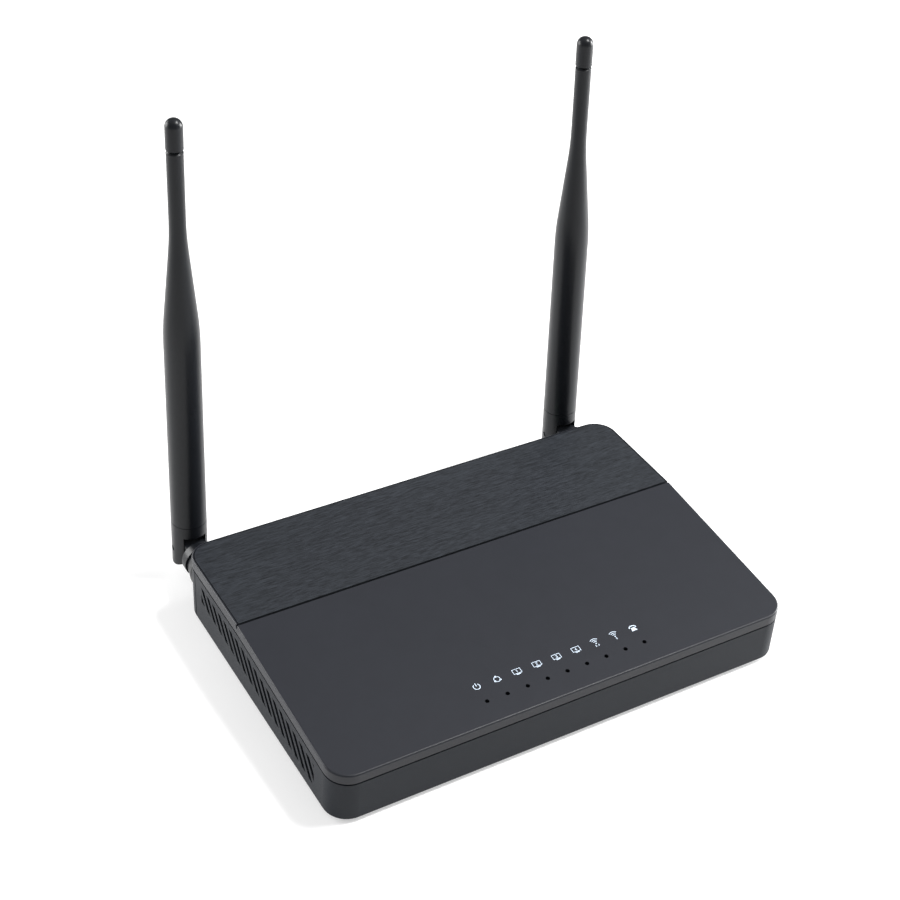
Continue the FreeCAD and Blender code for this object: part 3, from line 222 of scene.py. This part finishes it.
MATERIALS = {
    "case_plastic": moulded("case_plastic_fine", CASE_GREY, 0.48, specular=0.15),
    "cover_plastic": moulded("cover_plastic_matte", COVER_GREY, 0.38, grain=0.28, depth=0.018,
                             specular=0.25),
    "brushed_panel": brushed("hairline_panel", PANEL_GREY),
    "antenna_plastic": moulded("antenna_satin", ANTENNA_GREY, 0.32, grain=0.25, depth=0.012,
                                specular=0.24),
    "pin_plastic": moulded("pin_satin", ANTENNA_GREY, 0.45, grain=0.25, depth=0.01),
    "rubber": moulded("foot_rubber", (0.02, 0.02, 0.02), 0.8, grain=0.5, depth=0.03),
    "rating_plate": moulded("plate_film", (0.52, 0.53, 0.54), 0.4, grain=0.8, depth=0.006),
    "steel": metal("zinc_screw", (0.55, 0.55, 0.56), 0.32),
    "circuit_board": circuit_board("solder_mask"),
    "jack_plastic": moulded("jack_moulding", (0.018, 0.018, 0.02), 0.45),
    "phone_plastic": moulded("phone_jack_moulding", (0.16, 0.165, 0.17), 0.45),
    "gold_contact": metal("gold_contact", (0.85, 0.62, 0.25), 0.22, streak=(1, 0.1, 1)),
    "fibre_plastic": moulded("fibre_moulding", (0.03, 0.28, 0.11), 0.4),
    "ceramic": moulded("zirconia", (0.82, 0.82, 0.78), 0.15, grain=0.6, depth=0.003, vary=0.04),
    "nickel": metal("nickel_plate", (0.68, 0.66, 0.62), 0.2),
    "button_plastic": moulded("button_satin", (0.045, 0.045, 0.05), 0.4),
    "switch_plastic": moulded("switch_moulding", (0.03, 0.03, 0.03), 0.5),
    "chip_plastic": moulded("chip_epoxy", (0.02, 0.02, 0.02), 0.6, grain=0.2),
    "thermal_pad": moulded("silicone_pad", (0.3, 0.36, 0.42), 0.7, grain=0.5, depth=0.05),
    "anodised_aluminium": metal("extruded_fin", (0.62, 0.62, 0.64), 0.35, streak=(0.05, 1, 1)),
    "tinned_steel": metal("tinned_sheet", (0.66, 0.66, 0.66), 0.3),
    "capacitor_sleeve": moulded("capacitor_sleeve", (0.02, 0.035, 0.12), 0.25, grain=1.0, depth=0.004),
    "ferrite": moulded("ferrite_body", (0.05, 0.05, 0.052), 0.7),
    "lamp_lens": clear("lamp_epoxy", (0.8, 0.85, 0.7), 0.3, 0.2),
    "light_guide": clear("smoked_guide", (0.01, 0.01, 0.01), 0.4, 0.15),
    "fibre_jacket": moulded("fibre_buffer", (0.8, 0.72, 0.2), 0.35, grain=0.5, depth=0.004),
    "brass_element": metal("brass_tube", (0.72, 0.52, 0.24), 0.25, streak=(1, 1, 0.05)),
    "coax_jacket": moulded("coax_jacket", (0.02, 0.02, 0.02), 0.4, grain=0.4, depth=0.005),
}


def paint_frame():
    """Give every CAD node the material of its slot."""
    for part in frame["record"]["subparts"]:
        node = NODES[part["node"]]
        material = MATERIALS[part["material_slot"]]
        if not node.material_slots:
            node.data.materials.append(material)
        for slot in node.material_slots:
            slot.material = material


# -------------------------------------------------------------- printed signs
PRINT_THICK = 0.03 * MM
PLUMB_START = 1.0
SIGN_BACK = 7.9 * MM  # from an indicator hole back to its sign
STROKE = 0.34
FRONT_SIGN_SCALE = 0.88


def make_tree(node):
    """A search tree over a CAD node, in the frame's own coordinates."""
    mesh = node.data
    points = [node.matrix_world @ vertex.co for vertex in mesh.vertices]
    return BVHTree.FromPolygons(points, [list(face.vertices) for face in mesh.polygons])


def top_point(tree, x, y):
    """Where a plumb line at (x, y) meets the top, and the surface's normal there."""
    hit, normal, _, _ = tree.ray_cast(Vector((x, y, PLUMB_START)), Vector((0, 0, -1)))
    return hit, normal


def arc(centre, radius, start, end, steps=14):
    """Points along an arc; angles in degrees, counter-clockwise from +X."""
    points = []
    for k in range(steps + 1):
        angle = math.radians(start + (end - start) * k / steps)
        points.append((centre[0] + radius * math.cos(angle), centre[1] + radius * math.sin(angle)))
    return points


def ribbon(mesh, points, width, closed=False):
    """A flat stroke with mitred bends along points, in millimetres, added to a bmesh."""
    count = len(points)
    rims = []
    for k, point in enumerate(points):
        here = Vector(point)
        before = Vector(points[k - 1]) if k or closed else None
        after = Vector(points[(k + 1) % count]) if k < count - 1 or closed else None
        into = (here - before).normalized() if before else (after - here).normalized()
        out = (after - here).normalized() if after else into
        side_in, side_out = Vector((-into.y, into.x)), Vector((-out.y, out.x))
        side = (side_in + side_out).normalized()
        side *= width / 2 / max(side.dot(side_in), 0.5)
        rims.append((here + side, here - side))
    low = [[mesh.verts.new((p.x, p.y, 0.0)) for p in pair] for pair in rims]
    high = [[mesh.verts.new((p.x, p.y, PRINT_THICK / MM)) for p in pair] for pair in rims]
    last = count if closed else count - 1
    for k in range(last):
        n = (k + 1) % count
        mesh.faces.new((high[k][0], high[k][1], high[n][1], high[n][0]))
        mesh.faces.new((low[k][1], low[k][0], low[n][0], low[n][1]))
        mesh.faces.new((low[k][0], high[k][0], high[n][0], low[n][0]))
        mesh.faces.new((high[k][1], low[k][1], low[n][1], high[n][1]))
    if not closed:
        for k in (0, count - 1):
            mesh.faces.new((low[k][0], low[k][1], high[k][1], high[k][0]))


def patch(mesh, ring):
    """A filled printed patch inside a convex outline drawn counter-clockwise."""
    low = [mesh.verts.new((x, y, 0.0)) for x, y in ring]
    high = [mesh.verts.new((x, y, PRINT_THICK / MM)) for x, y in ring]
    mesh.faces.new(high)
    mesh.faces.new(low[::-1])
    for k in range(len(ring)):
        n = (k + 1) % len(ring)
        mesh.faces.new((low[k], low[n], high[n], high[k]))


def disc(mesh, centre, radius, steps=16):
    """A filled printed dot."""
    patch(mesh, arc(centre, radius, 0, 360 - 360 / steps, steps - 1))


DIGITS = {
    "1": [[(-0.25, 0.55), (0.1, 0.8), (0.1, -0.8)]],
    "2": [[(-0.45, 0.45), (-0.2, 0.78), (0.25, 0.78), (0.45, 0.4), (-0.45, -0.75), (0.5, -0.75)]],
    "3": [[(-0.45, 0.78), (0.45, 0.78), (0.0, 0.1), (0.4, -0.15), (0.4, -0.55), (0.05, -0.8),
           (-0.45, -0.65)]],
    "4": [[(0.2, -0.8), (0.2, 0.8), (-0.5, -0.3), (0.5, -0.3)]],
    "5": [[(0.42, 0.78), (-0.35, 0.78), (-0.4, 0.1), (0.15, 0.15), (0.42, -0.2), (0.3, -0.65),
           (-0.1, -0.8), (-0.45, -0.65)]],
    ".": [[(-0.05, -0.8), (0.05, -0.68)]],
}


DIGIT_HEIGHT = 1.6
DIGIT_STEP = 1.25


def number(mesh, text, centre, height, width):
    """Digits side by side, drawn as strokes."""
    scale = height / DIGIT_HEIGHT
    step = DIGIT_STEP * scale
    start = centre[0] - step * (len(text) - 1) / 2
    for k, character in enumerate(text):
        for stroke in DIGITS[character]:
            ribbon(mesh, [(start + k * step + x * scale, centre[1] + y * scale) for x, y in stroke], width)


def sign_power(mesh):
    """An open ring with a bar."""
    ribbon(mesh, arc((0, 0), 1.55, 125, 415, 28), STROKE)
    ribbon(mesh, [(0, 0.2), (0, 1.95)], STROKE)


def sign_internet(mesh):
    """A ring with three knots."""
    ribbon(mesh, arc((0, 0), 1.45, 0, 350, 28), 0.28, closed=True)
    for angle in (90, 210, 330):
        disc(mesh, arc((0, 0), 1.5, angle, angle, 1)[0], 0.5)


def sign_screen(digit):
    """A screen on its stand with a number inside."""
    def draw(mesh):
        ribbon(mesh, [(-2.0, -0.95), (2.0, -0.95), (2.0, 1.55), (-2.0, 1.55)], 0.24, closed=True)
        ribbon(mesh, [(-1.0, -1.45), (1.0, -1.45)], 0.4)
        number(mesh, digit, (0, 0.3), 1.45, 0.22)
    return draw


def sign_wireless(digits):
    """Three arcs over a dot, with a number below."""
    def draw(mesh):
        disc(mesh, (0, -0.6), 0.34)
        for radius in (1.15, 2.0, 2.85):
            ribbon(mesh, arc((0, -0.6), radius, 48, 132, 12), 0.26)
        number(mesh, digits, (0, -1.85), 0.95, 0.18)
    return draw


def sign_phone(mesh):
    """A handset lying over a telephone's body."""
    ribbon(mesh, arc((0, -0.75), 2.4, 42, 138, 14), 0.45)
    for side in (-1, 1):
        ribbon(mesh, [(side * 1.35, 0.65), (side * 1.85, 0.85)], 0.7)
    patch(mesh, [(-1.5, -1.35), (1.5, -1.35), (0.8, 0.55), (-0.8, 0.55)])


SIGNS = [("power", sign_power), ("internet", sign_internet),
         ("screen_1", sign_screen("1")), ("screen_2", sign_screen("2")),
         ("screen_3", sign_screen("3")), ("screen_4", sign_screen("4")),
         ("wireless_2", sign_wireless("2.4")), ("wireless_5", sign_wireless("5")),
         ("phone", sign_phone)]


def print_sign(name, draw, place, material):
    """A printed sign laid on a surface of the case by a placement matrix in metres."""
    shape = bmesh.new()
    draw(shape)
    bmesh.ops.recalc_face_normals(shape, faces=shape.faces)
    mesh = bpy.data.meshes.new(name)
    shape.to_mesh(mesh)
    shape.free()
    mesh.transform(place @ Matrix.Scale(MM, 4))
    mesh.materials.append(material)
    sign = bpy.data.objects.new(name, mesh)
    bpy.context.collection.objects.link(sign)
    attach(sign, "case")


def print_front_signs(white):
    """One sign behind each indicator hole."""
    tree = make_tree(NODES["top_cover"])
    low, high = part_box("indicator_lamps")
    lamp = high[1] - low[1]
    pitch = (high[0] - low[0] - lamp) / (len(SIGNS) - 1)
    y = (low[1] + high[1]) / 2 + SIGN_BACK
    for k, (name, draw) in enumerate(SIGNS):
        x = low[0] + lamp / 2 + k * pitch
        hit, normal = top_point(tree, x, y)
        turn = normal.to_track_quat("Z", "Y").to_matrix().to_4x4()
        matrix = Matrix.Translation(hit) @ turn @ Matrix.Scale(FRONT_SIGN_SCALE, 4)
        print_sign("sign_" + name, draw, matrix, white)


def sign_port(digit):
    """A plain number over a network jack."""
    def draw(mesh):
        number(mesh, digit, (0, 0), 3.6, 0.6)
    return draw


def sign_reset(mesh):
    """A round arrow."""
    ribbon(mesh, arc((0, 0), 1.5, 60, 350, 24), 0.5)
    ribbon(mesh, [(0.1, 2.4), (1.0, 1.3), (-0.3, 0.6)], 0.5)


def sign_inlet(mesh):
    """A ring with a centre dot, for the power inlet."""
    ribbon(mesh, arc((0, 0), 1.7, 0, 345, 23), 0.5, closed=True)
    disc(mesh, (0, 0), 0.7)


REAR_SIGNS = [("power_button", sign_power), ("power_jack", sign_inlet), ("reset_button", sign_reset),
              ("wireless_button", sign_wireless("")), ("lan_jack_1", sign_port("1")),
              ("lan_jack_2", sign_port("2")), ("lan_jack_3", sign_port("3")),
              ("lan_jack_4", sign_port("4")), ("phone_jack", sign_phone),
              ("fibre_adapter", sign_internet)]
REAR_SIGN_DROP = 2.1 * MM
REAR_SIGN_SCALE = 0.55


def print_rear_signs(white):
    """A small sign over every socket and button, read from behind."""
    wall_low, wall_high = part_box("rear_panel")
    facing_back = Matrix(((-1, 0, 0, 0), (0, 0, 1, 0), (0, 1, 0, 0), (0, 0, 0, 1)))
    for node, draw in REAR_SIGNS:
        low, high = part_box(node)
        place = Vector(((low[0] + high[0]) / 2, wall_high[1], wall_high[2] - REAR_SIGN_DROP))
        matrix = Matrix.Translation(place) @ facing_back @ Matrix.Scale(REAR_SIGN_SCALE, 4)
        print_sign("rear_sign_" + node, draw, matrix, white)


# ------------------------------------------------------------- camera and light
SENSOR_WIDTH = 36.0
CAMERA_TURN = -31.824
CAMERA_RISE = 37.008
CAMERA_ROLL = 3.550
CAMERA_LENS = 70.61
CAMERA_AWAY = 0.740
CAMERA_AIM = Vector((0.01115, 0.03785, 0.0548))


def add_camera():
    """A camera at the reference view."""
    turn, rise = math.radians(CAMERA_TURN), math.radians(CAMERA_RISE)
    back = Vector((math.sin(turn) * math.cos(rise), -math.cos(turn) * math.cos(rise), math.sin(rise)))
    right = Vector((math.cos(turn), math.sin(turn), 0))
    up = back.cross(right)
    axes = Matrix((right, up, back)).transposed()
    roll = Matrix.Rotation(math.radians(CAMERA_ROLL), 3, "Z")
    data = bpy.data.cameras.new("camera")
    data.lens = CAMERA_LENS
    data.sensor_width = SENSOR_WIDTH
    data.clip_start = 0.01
    camera = bpy.data.objects.new("camera", data)
    bpy.context.collection.objects.link(camera)
    camera.matrix_world = Matrix.Translation(CAMERA_AIM + back * CAMERA_AWAY) @ (axes @ roll).to_4x4()
    bpy.context.scene.camera = camera


LIGHT_AIM = Vector((0, 0, 0.03))
LIGHTS = [  # name, direction from the object, distance, width, height, power in watts
    ("top_softbox", (0.0, 0.15, 1.0), 1.5, 1.5, 1.5, 3.0),
    ("left_softbox", (-0.7, 0.7, 0.28), 1.3, 1.0, 0.6, 20.0),
    ("right_softbox", (1.0, -0.10, 0.26), 1.3, 0.45, 0.6, 34.0),
    ("edge_softbox", (0.42, -0.15, 0.90), 1.3, 0.3, 0.2, 19.0),
]
SKY_STRENGTH = 0.36
FLOOR_SIZE = 6.0
FLOOR_GLOW = 0.45
FLOOR_DROP = 0.1 * MM
FLOOR_GREY = (0.9, 0.9, 0.9)
PAPER_DARK = (0.58, 0.58, 0.58)
PAPER_LIGHT = (0.61, 0.61, 0.61)
PAPER_CLOUDS = 60.0


def add_light(name, direction, distance, width, height, power):
    """A soft rectangular light that looks at the object from a direction."""
    data = bpy.data.lights.new(name, "AREA")
    data.shape = "RECTANGLE"
    data.size = width
    data.size_y = height
    data.energy = power
    light = bpy.data.objects.new(name, data)
    bpy.context.collection.objects.link(light)
    light.location = LIGHT_AIM + Vector(direction).normalized() * distance
    light.rotation_euler = (-Vector(direction)).to_track_quat("-Z", "Y").to_euler()


def add_floor():
    """A plain paper floor that glows faintly, so that shadows on it stay pale."""
    bpy.ops.mesh.primitive_grid_add(x_subdivisions=8, y_subdivisions=8, size=FLOOR_SIZE)
    floor = bpy.context.object
    floor.name = "floor"
    floor.location.z = -FLOOR_DROP
    shader = Shader("pale_floor", FLOOR_GREY, 0.7)
    shader.colour_from(shader.ramp(shader.noise(PAPER_CLOUDS), PAPER_DARK, PAPER_LIGHT))
    shader.surface.inputs["Emission Color"].default_value = (1, 1, 1, 1)
    shader.surface.inputs["Emission Strength"].default_value = FLOOR_GLOW
    floor.data.materials.append(shader.material)


def add_sky():
    """Even white surroundings."""
    world = bpy.data.worlds.new("studio")
    world.use_nodes = True
    world.node_tree.nodes["Background"].inputs["Color"].default_value = (1, 1, 1, 1)
    world.node_tree.nodes["Background"].inputs["Strength"].default_value = SKY_STRENGTH
    bpy.context.scene.world = world
    bpy.context.scene.view_settings.view_transform = "Standard"


paint_frame()
SIGN_WHITE = ink("sign_ink", (0.62, 0.72, 0.84))
print_front_signs(SIGN_WHITE)
print_rear_signs(SIGN_WHITE)
add_camera()
add_floor()
add_sky()
for light in LIGHTS:
    add_light(*light)
